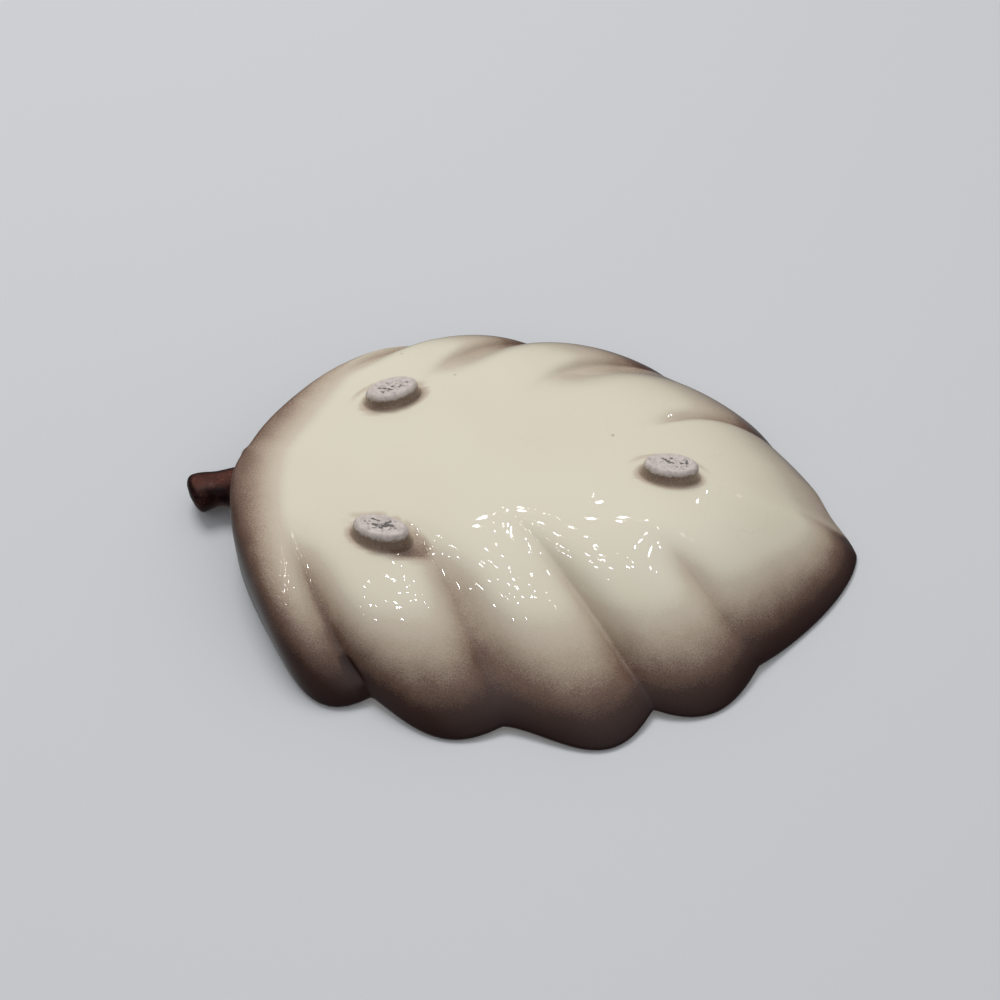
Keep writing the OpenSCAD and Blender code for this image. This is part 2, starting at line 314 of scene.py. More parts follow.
def paint(piece, name, values):
    # a share from 0 to 1 at each point, which the materials read
    share = piece.data.attributes.new(name, "FLOAT", "POINT")
    share.data.foreach_set("value", np.array(values, float))


# brown spray: how far it runs from the rim up the lobes and the grooves, as shares of the way

sprayAndShade = {
    "backFrom": 0.58, "backFull": 1.0, "backPower": 1.8,
    "tipLater": 0.06, "tipFrom": 0.6,    # it starts this much nearer to the rim at the tip
    "tipDarkFrom": 0.87, "tipDarkFull": 0.95,            # shares of the tip lobe
    "strengthPower": 3,                  # a lobe's end strength comes in by this power
    "valleyFrom": 0.36, "valleyFull": 0.62, "valleyPower": 2.5,
    "insideFrom": 0.80, "insideFull": 1.10,
    "base": 0.72,                        # how brown the wall is round the stem
    "baseEdge": 12.5 * mm, "baseFade": 30 * mm,
    "leftBend": 8.5 * mm, "leftBendAt": 43 * mm, "rightSlope": 0.45,
    "stem": 0.9,                         # how dark the wall is where the stem starts: dark glaze and painted shade in the recess
    "stemPlace": (-1.5 * mm, 35 * mm),   # to the left and up
    "stemFull": 7 * mm, "stemFade": 12 * mm,
    "stemAhead": 6 * mm,                 # along the midrib the dark ends within twice this
}
leftSide["valleys"] = [0, 0.48, 0.36, 0.12, 0.20, 0]     # how brown each groove is
rightSide["valleys"] = [0, 0.30, 0.25, 0.14, 0.28, 0]
leftSide["strengths"] = [1, 1, 1, 1, 1]                  # how brown the rim is where each lobe starts
leftSide["endStrengths"] = [1, 1, 1, 1, 1]               # and where it ends
rightSide["strengths"] = [1, 0.8, 0.6, 0.38, 0.32]
rightSide["endStrengths"] = [1, 1, 0.95, 0.95, 0.36]


def sprayShares(side, lobe, w, s):
    s = s[:, None]
    valley = between(side["valleys"], lobe, w) * (1 - crestShare(side, lobe, w)) ** sprayAndShade["valleyPower"]
    valley = valley * soft((s - sprayAndShade["valleyFrom"]) / (sprayAndShade["valleyFull"] - sprayAndShade["valleyFrom"]))
    tip = (lobe == lobeCount - 1) * w
    later = sprayAndShade["tipLater"] * soft((tip - sprayAndShade["tipFrom"]) / (1 - sprayAndShade["tipFrom"]))
    start = sprayAndShade["backFrom"] + later
    back = clip01((s - start) / (sprayAndShade["backFull"] - start)) ** sprayAndShade["backPower"]
    first = np.array(side["strengths"], float)[lobe]
    last = np.array(side["endStrengths"], float)[lobe]
    strength = first + (last - first) * w ** sprayAndShade["strengthPower"]
    tipDark = soft((tip - sprayAndShade["tipDarkFrom"]) / (sprayAndShade["tipDarkFull"] - sprayAndShade["tipDarkFrom"]))
    strength = strength + (1 - strength) * tipDark
    return 1 - (1 - strength * back) * (1 - valley)


def insideShares(side, lobe, w, s):
    start, full = sprayAndShade["insideFrom"], sprayAndShade["insideFull"]
    return soft((s[:, None] - start) / (full - start)) + 0 * w


def baseSpray(points):
    # round the stem the spray follows the leaf's end
    x, y = points[..., 0], points[..., 1]
    bend = np.where(y > 0, sprayAndShade["leftBend"] * (y / sprayAndShade["leftBendAt"]) ** 2, -sprayAndShade["rightSlope"] * y)
    return sprayAndShade["base"] * soft((sprayAndShade["baseEdge"] + bend - x) / sprayAndShade["baseFade"] + 0.5)


def stemSpray(points):
    # the stem's dark glaze runs a little way on to the wall, with painted shade in the recess where the
    # stem meets it
    left, up = sprayAndShade["stemPlace"]
    off = np.hypot(points[..., 1] - left, points[..., 2] - up)
    ahead = (points[..., 0] - sprayAndShade["stemAhead"]) / sprayAndShade["stemAhead"]
    return sprayAndShade["stem"] * (1 - soft((off - sprayAndShade["stemFull"]) / sprayAndShade["stemFade"])) * (1 - soft(ahead))


# the feet's places are from the base of the leaf, along the midrib and to the left

foot = {
    "padLength": 20 * mm, "padWidth": 10.5 * mm,
    "flareLength": 26 * mm, "flareWidth": 16 * mm, "flarePower": 1.5, "risePower": 2.6,
    "edge": 1.2 * mm, "edgeEnd": 0.125,  # rounding of the pad's edge, over this share of the flare
    "sink": 0.35 * mm,                   # the flare ends this far inside the wall
    "dome": 0.25 * mm,                   # the pad is hollowed by this much in its middle
    "around": 96, "padRings": 14, "flareRings": 30,
    "bareDown": 0.22,                    # the clay shows this share of the way down the flare
    "shade": 0.52, "shadeReach": 3 * mm,                 # brown spray and painted shade on the left side of each foot
    "shadeRight": 0.45,                  # and this share of it on the right side
    "shadeStart": 1 * mm, "shadeSoft": 0.5 * mm,
    # a thin line of painted shade round the other side of each foot, where the flare meets the wall
    "farShadeLine": 0.2, "lineAt": 3 * mm, "lineWidth": 1.2 * mm,
}
feet = [
    {"name": "leftFoot", "node": "left_foot", "place": (61.9 * mm, 34.0 * mm), "turn": 8, "trail": 6 * mm},
    {"name": "rightFoot", "node": "right_foot", "place": (57.6 * mm, -29.7 * mm), "turn": -25,
     "trail": 1 * mm},
    {"name": "tipFoot", "node": "tip_foot", "place": (163.9 * mm, -4.3 * mm), "turn": 0, "trail": 0},
]


def beyondPad(along, aside):
    # how far outside the pad's oval, on the scale of its width
    return (np.hypot(along / foot["padLength"], aside / foot["padWidth"]) - 0.5) * foot["padWidth"]


def footSpray(points):
    # brown spray and painted shade against the left side of each foot, and a thin line of painted shade
    # round the other
    total = np.zeros(points.shape[:-1])
    for own in feet:
        turn = np.radians(own["turn"])
        dx, dy = points[..., 0] - own["place"][0], points[..., 1] - own["place"][1]
        along = dx * np.cos(turn) + dy * np.sin(turn)
        aside = dy * np.cos(turn) - dx * np.sin(turn)
        left = foot["shadeRight"] + (1 - foot["shadeRight"]) * soft(aside / foot["padWidth"] + 0.5)
        # the trail draws the painted shade out along the valley past the pad's end
        reach = beyondPad(along - np.clip(along, 0, own["trail"]), aside)
        shade = foot["shade"] * left * (1 - soft(reach / foot["shadeReach"] / left))
        near = beyondPad(along, aside)
        shade = shade * soft((near + foot["shadeStart"]) / foot["shadeSoft"])
        line = foot["farShadeLine"] * soft(-aside / foot["padWidth"])
        line = line * soft(1 - np.abs(near - foot["lineAt"]) / foot["lineWidth"])
        total = np.maximum(total, np.maximum(shade, line))
    return total


# a pinched fold at the rim end of one groove: its place on the way to the rim, and its reach each way; its
# share dents the wall and is also painted in as dark shade in the slit

pocket = {"groove": 1, "at": 0.90, "reach": 0.055, "width": 0.05, "depth": 1.6 * mm, "least": 0.6}


def pocketShares(side, lobe, w, s):
    if side is not leftSide:
        return 0 * s[:, None] + 0 * w
    off = np.abs(lobe + w - pocket["groove"])
    along = clip01(1 - ((s[:, None] - pocket["at"]) / pocket["reach"]) ** 2)
    across = 1 - soft(off / pocket["width"])
    return np.sqrt(along) * across * (pocket["least"] + (1 - pocket["least"]) * along)


def leafPiece():
    outer = softenKeel(bothSides(skin))
    inner = innerWall(outer)
    lip = roundedLip(outer, inner)
    fold = bothSides(pocketShares)
    outer = outer + pocket["depth"] * fold[..., None] * wallNormals(outer)
    shiftX = shellBox[1].x - lip[..., 0].max()
    shiftY = (shellBox[0].y + shellBox[1].y - lip[..., 1].max() - lip[..., 1].min()) / 2
    shift = np.array([shiftX, shiftY, 0])

    # the midrib's points are shared by both sides
    columns = outer.shape[1]
    sideCount = (columns + 2) // 2
    shared = np.array([c if c < sideCount else columns - c for c in range(columns)])
    ringIds = np.arange((outer.shape[0] - 1) * columns).reshape(-1, columns)
    half = sideCount + ringIds.size
    outerIds = np.vstack([shared, sideCount + ringIds])
    lipIds = 2 * half + np.arange(lip.shape[0] * columns).reshape(-1, columns)
    wall = np.vstack([outerIds, lipIds, (outerIds + half)[::-1]])

    def listed(grid):
        return np.concatenate([grid[0, :sideCount], grid[1:].reshape(-1, *grid.shape[2:])])

    points = np.concatenate([listed(outer), listed(inner), lip.reshape(-1, 3)])
    piece = newPiece("leafShell", points + shift, gridFaces(wall[:, ::-1]), "leaf_shell")

    # the painted amount is the brown spray together with painted shade round the feet, in the fold's slit
    # and in the recess by the stem
    brownAndShade = bothSides(sprayShares)
    for more in (footSpray(outer), baseSpray(outer), fold, stemSpray(outer)):
        brownAndShade = brownAndShade + more - brownAndShade * more
    onLip = np.tile(brownAndShade[-1], lip.shape[0])
    paint(piece, "sprayAndShade", np.concatenate([listed(brownAndShade), listed(bothSides(insideShares)), onLip]))
    return piece, shift


leafShell, shift = leafPiece()
wallTree = BVHTree.FromObject(leafShell, bpy.context.evaluated_depsgraph_get())
print("leaf shell made", len(leafShell.data.polygons))


# feet: an oval bare pad that flares out into the underside of the wall


def wallOver(x, y):
    # the place on the wall straight above, and its normal
    return wallTree.ray_cast(Vector((x, y, -leaf["length"])), Vector((0, 0, 1)))[:2]


def undersideAt(x, y):
    hit = wallOver(x, y)[0]
    return hit.z if hit else leaf["underside"]


def footOval(own, length, width):
    angle = 2 * np.pi * np.arange(foot["around"]) / foot["around"]
    x, y = length / 2 * np.cos(angle), width / 2 * np.sin(angle)
    turn = np.radians(own["turn"])
    return np.stack([own["place"][0] + shift[0] + x * np.cos(turn) - y * np.sin(turn),
                     own["place"][1] + shift[1] + x * np.sin(turn) + y * np.cos(turn)], -1)


def makeFoot(own):
    rows = []
    inset = 2 * foot["edge"]
    for t in np.linspace(0, 1, foot["padRings"])[1:]:
        oval = footOval(own, t * (foot["padLength"] - inset), t * (foot["padWidth"] - inset))
        rows.append([(x, y, foot["dome"] * (1 - t * t) ** 2) for x, y in oval])
    for t in np.linspace(0, 1, foot["flareRings"])[1:]:
        flare = t ** foot["flarePower"]
        edge = inset * (1 - min(1, t / foot["edgeEnd"])) ** 2
        length = foot["padLength"] + flare * (foot["flareLength"] - foot["padLength"]) - edge
        width = foot["padWidth"] + flare * (foot["flareWidth"] - foot["padWidth"]) - edge
        row = []
        for x, y in footOval(own, length, width):
            height = undersideAt(x, y) + foot["sink"]
            row.append((x, y, height * (1 - (1 - t) ** foot["risePower"])))
        rows.append(row)
    middle = footOval(own, 0, 0)[0]
    points = [(middle[0], middle[1], foot["dome"])] + [p for row in rows for p in row]
    n = foot["around"]
    faces = [[0, 1 + (k + 1) % n, 1 + k] for k in range(n)]
    faces += gridFaces(1 + np.arange(len(rows) * n).reshape(len(rows), n))
    piece = newPiece(own["name"], points, faces, own["node"])

    ring = np.arange(len(rows))
    down = np.maximum(0, ring - foot["padRings"] + 2) / foot["flareRings"]
    bare = clip01(1 - down / foot["bareDown"])
    inPad = clip01(1 - ((ring + 1) / (foot["padRings"] - 1)) ** 2)
    paint(piece, "bare", np.append(1.0, np.repeat(bare, n)))
    paint(piece, "middle", np.append(1.0, np.repeat(inPad, n)))
    # the foot gets the same brown spray and painted shade
    paint(piece, "sprayAndShade", footSpray(np.array(points) - shift))
    return piece


footPieces = [makeFoot(own) for own in feet]
print("feet made", len(footPieces))


# stem: a short stub that flares into the base of the leaf and ends in a rounded cut

stem = {
    "length": 17.5 * mm, "bend": 5 * mm, "lift": 1 * mm, "drop": 10 * mm, "side": 1.5 * mm,
    "endWidth": 15.5 * mm, "waistWidth": 13.5 * mm, "collarWidth": 21 * mm,
    "collarEnd": 0.5, "collarPower": 1.8,                # shares of the way to the cut end
    "wideFrom": 0.35, "wideFull": 0.80,
    "cutFrom": 0.80, "cutPower": 2.6,
    "sunk": 4 * mm,                      # the flare starts this far inside the wall
    "around": 64, "rings": 48,
}


def stemRadius(t):
    sunk = stem["sunk"] / stem["length"]
    collar = clip01((stem["collarEnd"] - t) / (stem["collarEnd"] + sunk)) ** stem["collarPower"]
    wide = soft((t - stem["wideFrom"]) / (stem["wideFull"] - stem["wideFrom"]))
    cut = clip01((t - stem["cutFrom"]) / (1 - stem["cutFrom"]))
    width = (stem["waistWidth"] + (stem["collarWidth"] - stem["waistWidth"]) * collar
             + (stem["endWidth"] - stem["waistWidth"]) * wide)
    return width / 2 * np.sqrt(1 - cut ** stem["cutPower"])


def makeStem():
    points = []
    start = -stem["sunk"] / stem["length"]
    for t in np.linspace(start, 1, stem["rings"]):
        bent = max(t, 0)
        centre = np.array([-stem["length"] * t, -stem["side"] + stem["bend"] * bent ** 2,
                           leaf["rim"] - stem["drop"] + stem["lift"] * bent ** 2]) + shift
        ahead = unit(np.array([-stem["length"], 2 * stem["bend"] * bent, 2 * stem["lift"] * bent]))
        side = unit(np.array([-ahead[1], ahead[0], 0]))
        up = np.cross(ahead, side)
        for k in range(stem["around"]):
            angle = 2 * np.pi * k / stem["around"]
            points.append(centre + stemRadius(t) * (np.cos(angle) * side + np.sin(angle) * up))
    n = stem["around"]
    ids = np.arange(len(points)).reshape(-1, n)
    last = int(ids[-1, 0])               # the last ring is one point
    faces = gridFaces(ids[:-1])
    faces += [[int(ids[-2, k]), int(ids[-2, (k + 1) % n]), last] for k in range(n)]
    faces.append([int(v) for v in ids[0, ::-1]])
    return newPiece("stem", points[:last + 1], faces, "stem")


stemPiece = makeStem()
print("stem made", len(stemPiece.data.polygons))


# camera: at the photo's angle, below the underside, in units of the photo's 1000 pixel frame

camera = {
    "focal": 1500, "frame": 1000, "centre": (545.2, 532.27),
    "elevation": 54.0, "yaw": 2.818, "roll": -2.488, "distance": 583.3 * mm,
    "sensor": 36.0, "nearest": 10 * mm, "farthest": 20,
}


def makeCamera():
    el, yaw, roll = (np.radians(camera[k]) for k in ("elevation", "yaw", "roll"))
    level = np.array([np.cos(yaw), np.sin(yaw), 0])
    away = np.array([-np.sin(yaw), np.cos(yaw), 0])
    up = np.sin(el) * away + np.array([0, 0, np.cos(el)])
    ahead = np.cos(el) * away - np.array([0, 0, np.sin(el)])
    right = np.cos(roll) * level - np.sin(roll) * up
    top = np.sin(roll) * level + np.cos(roll) * up
    scale = camera["distance"] / camera["focal"]
    offRight = (camera["centre"][0] - camera["frame"] / 2) * scale
    offUp = -(camera["centre"][1] - camera["frame"] / 2) * scale
    place = -offRight * right - offUp * top - camera["distance"] * ahead
    turned = np.array([1, -1, -1])       # the photo shows the bowl upside down
    middle = np.array([leaf["length"] / 2, 0, leaf["rim"]]) + shift
    data = bpy.data.cameras.new("camera")
    data.sensor_width = camera["sensor"]
    data.lens = camera["sensor"] * camera["focal"] / camera["frame"]
    data.clip_start = camera["nearest"]
    data.clip_end = camera["farthest"]
    eye = bpy.data.objects.new("camera", data)
    bpy.context.scene.collection.objects.link(eye)
    axes = Matrix((tuple(right * turned), tuple(top * turned), tuple(-ahead * turned))).transposed()
    eye.location = place * turned + middle
    eye.rotation_euler = axes.to_euler()
    bpy.context.scene.camera = eye


makeCamera()
print("camera placed")


# shader node helpers


def add(tree, kind, inputs=(), **options):
    # a node, with each input given a value or linked to another node's output
    node = tree.nodes.new(kind)
    for key, value in options.items():
        setattr(node, key, value)
    for key, value in dict(inputs).items():
        if isinstance(value, bpy.types.NodeSocket):
            tree.links.new(value, node.inputs[key])
        else:
            node.inputs[key].default_value = value
    return node


def calc(tree, operation, *values, clamp=False):
    node = add(tree, "ShaderNodeMath", dict(enumerate(values)), operation=operation, use_clamp=clamp)
    return node.outputs[0]


def times(tree, first, second):
    return calc(tree, "MULTIPLY", first, second)


def plus(tree, first, second, clamp=False):
    return calc(tree, "ADD", first, second, clamp=clamp)


def minus(tree, first, second):
    return calc(tree, "SUBTRACT", first, second)


def heightOf(tree, vector):
    return add(tree, "ShaderNodeSeparateXYZ", {"Vector": vector}).outputs["Z"]


# stage: a floor under the feet, seen from above, and a table at the rim, seen from below

stage = {"size": 6.0, "table": (0.57, 0.58, 0.60), "floor": (0.72, 0.72, 0.72), "roughness": 0.6}


def stageMaterial(name, colour):
    material = bpy.data.materials.new(name)
    material.use_nodes = True
    tree = material.node_tree
    shader = tree.nodes["Principled BSDF"]
    shader.inputs["Base Color"].default_value = (*colour, 1)
    shader.inputs["Roughness"].default_value = stage["roughness"]
    behind = tree.nodes.new("ShaderNodeNewGeometry").outputs["Backfacing"]
    clear = tree.nodes.new("ShaderNodeBsdfTransparent").outputs["BSDF"]
    mix = add(tree, "ShaderNodeMixShader", {0: behind, 1: shader.outputs["BSDF"], 2: clear})
    tree.links.new(mix.outputs["Shader"], tree.nodes["Material Output"].inputs["Surface"])
    return material


def stagePlane(name, height, faceUp, colour):
    h = stage["size"] / 2
    corners = [(-h, -h, height), (h, -h, height), (h, h, height), (-h, h, height)]
    mesh = bpy.data.meshes.new(name)
    mesh.from_pydata(corners, [], [(0, 1, 2, 3) if faceUp else (3, 2, 1, 0)])
    plane = bpy.data.objects.new(name, mesh)
    bpy.context.scene.collection.objects.link(plane)
    mesh.materials.append(stageMaterial(name, colour))
    plane.visible_shadow = False
    plane.visible_diffuse = False
    plane.visible_glossy = False


stagePlane("floor", 0, True, stage["floor"])
stagePlane("table", leaf["rim"], False, stage["table"])


# light

light = {
    "worldColour": (0.97, 0.985, 1.0),
    "level": 0.09, "below": 0.75, "above": 0.50,         # the world is darker towards the horizon
    "mirroredAbove": 0.10,               # and above the bowl where the glaze mirrors it
    "backdrop": 0.50,
    "dotDistance": 0.6, "dotSize": 0.26 * mm, "dotGlow": 120, "dotLargest": 5 * mm,
}
softBoxes = [
    {"name": "lampBelow", "place": (-0.42, -0.66, -1.5), "size": 0.8, "power": 14.5},
    {"name": "lampAbove", "place": (-0.45, 0.45, 1.65), "size": 1.0, "power": 18},
]
dottedLoops = [                          # where small lamps show in the glaze: ends, width and count
    {"from": (80 * mm, 38 * mm), "to": (118 * mm, 50 * mm), "width": 9 * mm, "lamps": 22},
    {"from": (110 * mm, 17 * mm), "to": (141 * mm, 34 * mm), "width": 7 * mm, "lamps": 18},
    {"from": (105 * mm, 25 * mm), "to": (125 * mm, 43 * mm), "width": 0.8 * mm, "lamps": 8},
    {"from": (136 * mm, 9 * mm), "to": (158 * mm, 27 * mm), "width": 1.5 * mm, "lamps": 8},
]


def newLamp(name, kind, place, power):
    data = bpy.data.lights.new(name, kind)
    data.energy = power
    lamp = bpy.data.objects.new(name, data)
    bpy.context.scene.collection.objects.link(lamp)
    lamp.location = place
    return lamp


def softBox(own):
    # a round lamp that faces the bowl and doesn't show in the glaze
    lamp = newLamp(own["name"], "AREA", own["place"], own["power"])
    lamp.data.shape = "DISK"
    lamp.data.size = own["size"]
    lamp.rotation_mode = "QUATERNION"
    lamp.rotation_quaternion = (-Vector(own["place"])).to_track_quat("-Z", "Y")
    lamp.visible_glossy = False


def dottedGlints(loop, eye):
    # each lamp sits where the glaze mirrors it to the camera, and lights no matt surface
    start, end = Vector(loop["from"]), Vector(loop["to"])
    aside = (end - start).orthogonal().normalized() * loop["width"] / 2
    spots, places = [], []
    for k in range(loop["lamps"]):
        angle = 2 * np.pi * k / loop["lamps"]
        x, y = (start + end) / 2 + (end - start) / 2 * np.cos(angle) + aside * np.sin(angle)
        spot, normal = wallOver(x + shift[0], y + shift[1])
        spots.append(spot)
        places.append(spot + light["dotDistance"] * (spot - eye).normalized().reflect(normal))
    for k in range(loop["lamps"]):
        ahead = (k + 1) % loop["lamps"]
        shrink = (spots[ahead] - spots[k - 1]).length / (places[ahead] - places[k - 1]).length
        radius = min(light["dotSize"] / shrink, light["dotLargest"])
        lamp = newLamp("glint", "POINT", places[k], light["dotGlow"] * (2 * np.pi * radius) ** 2)
        lamp.data.shadow_soft_size = radius
        lamp.visible_diffuse = False


def makeWorld():
    world = bpy.data.worlds.new("world")
    bpy.context.scene.world = world
    world.use_nodes = True
    tree = world.node_tree
    background = tree.nodes["Background"]
    background.inputs["Color"].default_value = (*light["worldColour"], 1)
    height = heightOf(tree, tree.nodes.new("ShaderNodeTexCoord").outputs["Generated"])
    path = tree.nodes.new("ShaderNodeLightPath").outputs
    darker = light["mirroredAbove"] - light["above"]
    above = calc(tree, "MULTIPLY_ADD", path["Is Glossy Ray"], darker, light["above"])
    pole = calc(tree, "MAXIMUM", times(tree, height, above), times(tree, height, -light["below"]))
    lit = plus(tree, pole, light["level"])
    seen = minus(tree, light["backdrop"], lit)
    strength = calc(tree, "MULTIPLY_ADD", path["Is Camera Ray"], seen, lit)
    tree.links.new(strength, background.inputs["Strength"])


makeWorld()
for own in softBoxes:
    softBox(own)
for loop in dottedLoops:
    dottedGlints(loop, bpy.context.scene.camera.location)
bpy.context.scene.view_settings.view_transform = "Standard"
print("stage and lights made")


# materials


def spread(tree, value, low, high):
    # 0 at low, 1 at high and smooth between
    node = add(tree, "ShaderNodeMapRange", {"Value": value, "From Min": low, "From Max": high},
               interpolation_type="SMOOTHSTEP")
    return node.outputs["Result"]


def blend(tree, share, first, second):
    node = add(tree, "ShaderNodeMix", data_type="RGBA")
    for socket, value in ((node.inputs[0], share), (node.inputs[6], first), (node.inputs[7], second)):
        if isinstance(value, bpy.types.NodeSocket):
            tree.links.new(value, socket)
        else:
            socket.default_value = value if isinstance(value, float) else (*value[:3], 1)
    return node.outputs[2]


def noise(tree, place, scale, detail=2.0, rough=0.5):
    inputs = {"Vector": place, "Scale": scale, "Detail": detail, "Roughness": rough}
    return add(tree, "ShaderNodeTexNoise", inputs).outputs["Fac"]


def newGroup(name, inputs, outputs):
    tree = bpy.data.node_groups.new(name, "ShaderNodeTree")
    for label, kind, value in inputs:
        socket = tree.interface.new_socket(label, in_out="INPUT", socket_type="NodeSocket" + kind)
        if value is not None:
            socket.default_value = value
    for label, kind in outputs:
        tree.interface.new_socket(label, in_out="OUTPUT", socket_type="NodeSocket" + kind)
    return tree, tree.nodes.new("NodeGroupInput").outputs, tree.nodes.new("NodeGroupOutput").inputs


def use(tree, group, **inputs):
    node = tree.nodes.new("ShaderNodeGroup")
    node.node_tree = group
    for key, value in inputs.items():
        if isinstance(value, bpy.types.NodeSocket):
            tree.links.new(value, node.inputs[key])
        else:
            node.inputs[key].default_value = value
    return node.outputs


stippleMix = {"dots": 0.7, "cloud": 0.45}


def makeStipple():
    # airbrush dots: a soft amount breaks up into a fine spatter where it is neither bare nor full
    inputs = [("Amount", "Float", 0.5), ("Place", "Vector", None),
              ("Dots", "Float", 2000.0), ("Cloud", "Float", 110.0), ("Grain", "Float", 0.4)]
    tree, given, made = newGroup("airbrushStipple", inputs, [("Mask", "Float")])
    dots = noise(tree, given["Place"], given["Dots"], 1.0)
    cloud = noise(tree, given["Place"], given["Cloud"], 3.0)
    uneven = plus(tree, times(tree, minus(tree, dots, 0.5), stippleMix["dots"]),
                  times(tree, minus(tree, cloud, 0.5), stippleMix["cloud"]))
    half = times(tree, given["Amount"], minus(tree, 1.0, given["Amount"]))
    edge = times(tree, half, 4.0)        # 1 where the amount is a half
    moved = times(tree, times(tree, uneven, edge), given["Grain"])
    tree.links.new(plus(tree, given["Amount"], moved, clamp=True), made["Mask"])
    return tree


def makeSpecks():
    # small round specks, thinned out so that only some cells have one
    inputs = [("Place", "Vector", None), ("Scale", "Float", 220.0),
              ("Size", "Float", 0.2), ("Share", "Float", 0.2)]
    tree, given, made = newGroup("smallSpecks", inputs, [("Mask", "Float")])
    cells = add(tree, "ShaderNodeTexVoronoi", {"Vector": given["Place"], "Scale": given["Scale"]}).outputs
    dot = spread(tree, cells["Distance"], given["Size"], 0.0)
    pick = add(tree, "ShaderNodeSeparateColor", {"Color": cells["Color"]}).outputs["Red"]
    chosen = calc(tree, "LESS_THAN", pick, given["Share"])
    tree.links.new(times(tree, dot, chosen), made["Mask"])
    return tree


def makeRipple():
    # the pull of the glaze: long soft waves and a fine skin
    inputs = [("Place", "Vector", None), ("Waves", "Float", 45.0),
              ("Skin", "Float", 700.0), ("SkinShare", "Float", 0.15)]
    tree, given, made = newGroup("glazeRipple", inputs, [("Height", "Float")])
    waves = noise(tree, given["Place"], given["Waves"], 2.0)
    fine = times(tree, noise(tree, given["Place"], given["Skin"], 1.0), given["SkinShare"])
    tree.links.new(plus(tree, waves, fine), made["Height"])
    return tree


crackPatches = {"wobble": 60.0, "sway": 0.012, "scale": 22.0, "spread": (0.52, 0.66)}


def makeCrazing():
    # hair cracks in the glaze, only in a few patches
    inputs = [("Place", "Vector", None), ("Scale", "Float", 42.0), ("Width", "Float", 0.012)]
    tree, given, made = newGroup("hairCrazing", inputs, [("Mask", "Float")])
    sway = (crackPatches["sway"],) * 3
    wobble = add(tree, "ShaderNodeTexNoise",
                 {"Vector": given["Place"], "Scale": crackPatches["wobble"], "Detail": 3.0})
    bent = add(tree, "ShaderNodeVectorMath", {0: wobble.outputs["Color"], 1: sway}, operation="MULTIPLY")
    moved = add(tree, "ShaderNodeVectorMath", {0: given["Place"], 1: bent.outputs[0]}, operation="ADD")
    cells = add(tree, "ShaderNodeTexVoronoi", {"Vector": moved.outputs[0], "Scale": given["Scale"]},
                feature="DISTANCE_TO_EDGE")
    line = spread(tree, cells.outputs["Distance"], given["Width"], 0.0)
    patch = noise(tree, given["Place"], crackPatches["scale"], 1.0)
    patch = spread(tree, patch, *crackPatches["spread"])
    tree.links.new(times(tree, line, patch), made["Mask"])
    return tree


cream = {
    "colour": (0.69, 0.64, 0.52), "warm": (0.66, 0.60, 0.47), "speck": (0.25, 0.22, 0.18),
    "stops": [(0.12, (0.56, 0.48, 0.38)), (0.30, (0.42, 0.33, 0.25)), (0.52, (0.18, 0.11, 0.08)),
              (0.75, (0.055, 0.028, 0.022)), (1.0, (0.023, 0.010, 0.009))],
    "warmth": 0.5, "cloudScale": 14.0, "cloudSpread": (0.35, 0.65),
    "speckScale": 95.0, "speckSize": 0.10, "speckShare": 0.16, "speckDepth": 0.6, "crackDepth": 0.05,
    "roughness": 0.03, "brownRoughness": 0.07, "specular": 0.38,
    "skinShare": 0.003, "rippleStrength": 0.2, "rippleDepth": 0.4 * mm,
}


def makeSprayed():
    # the glaze's colour: cream, then tan, brown and nearly black as the spray and the painted shade get
    # denser
    inputs = [("Spray", "Float", 0.0), ("Place", "Vector", None), ("Cream", "Color", (*cream["colour"], 1))]
    tree, given, made = newGroup("sprayShadeColour", inputs, [("Color", "Color"), ("Mask", "Float")])
    mask = use(tree, stipple, Amount=given["Spray"], Place=given["Place"])["Mask"]
    ramp = add(tree, "ShaderNodeValToRGB", {"Fac": mask})
    stops = cream["stops"]
    while len(ramp.color_ramp.elements) < len(stops):
        ramp.color_ramp.elements.new(0.5)
    for element, (density, colour) in zip(ramp.color_ramp.elements, stops):
        element.position = density
        element.color = (*colour, 1)
    cover = spread(tree, mask, 0.0, stops[0][0])
    cloud = spread(tree, noise(tree, given["Place"], cream["cloudScale"], 3.0), *cream["cloudSpread"])
    pale = blend(tree, times(tree, cloud, cream["warmth"]), given["Cream"], cream["warm"])
    grey = use(tree, specks, Place=given["Place"], Scale=cream["speckScale"], Size=cream["speckSize"],
               Share=cream["speckShare"])["Mask"]
    pale = blend(tree, times(tree, grey, cream["speckDepth"]), pale, cream["speck"])
    cracks = use(tree, crazing, Place=given["Place"])["Mask"]
    pale = blend(tree, times(tree, cracks, cream["crackDepth"]), pale, cream["speck"])
    tree.links.new(blend(tree, cover, pale, ramp.outputs["Color"]), made["Color"])
    tree.links.new(mask, made["Mask"])
    return tree


stipple = makeStipple()
specks = makeSpecks()
ripple = makeRipple()
crazing = makeCrazing()
sprayShadeRamp = makeSprayed()
print("shader groups made")


def newMaterial(name):
    material = bpy.data.materials.new(name)
    material.use_nodes = True
    tree = material.node_tree
    place = tree.nodes.new("ShaderNodeTexCoord").outputs["Object"]
    return material, tree, tree.nodes["Principled BSDF"], place


def painted(tree, name):
    return add(tree, "ShaderNodeAttribute", attribute_name=name).outputs["Fac"]


def roughened(tree, shader, share, low, high):
    node = add(tree, "ShaderNodeMapRange", {"Value": share, "To Min": low, "To Max": high})
    tree.links.new(node.outputs["Result"], shader.inputs["Roughness"])


def bumped(tree, shader, height, strength, distance):
    bump = add(tree, "ShaderNodeBump", {"Height": height, "Strength": strength, "Distance": distance})
    tree.links.new(bump.outputs["Normal"], shader.inputs["Normal"])


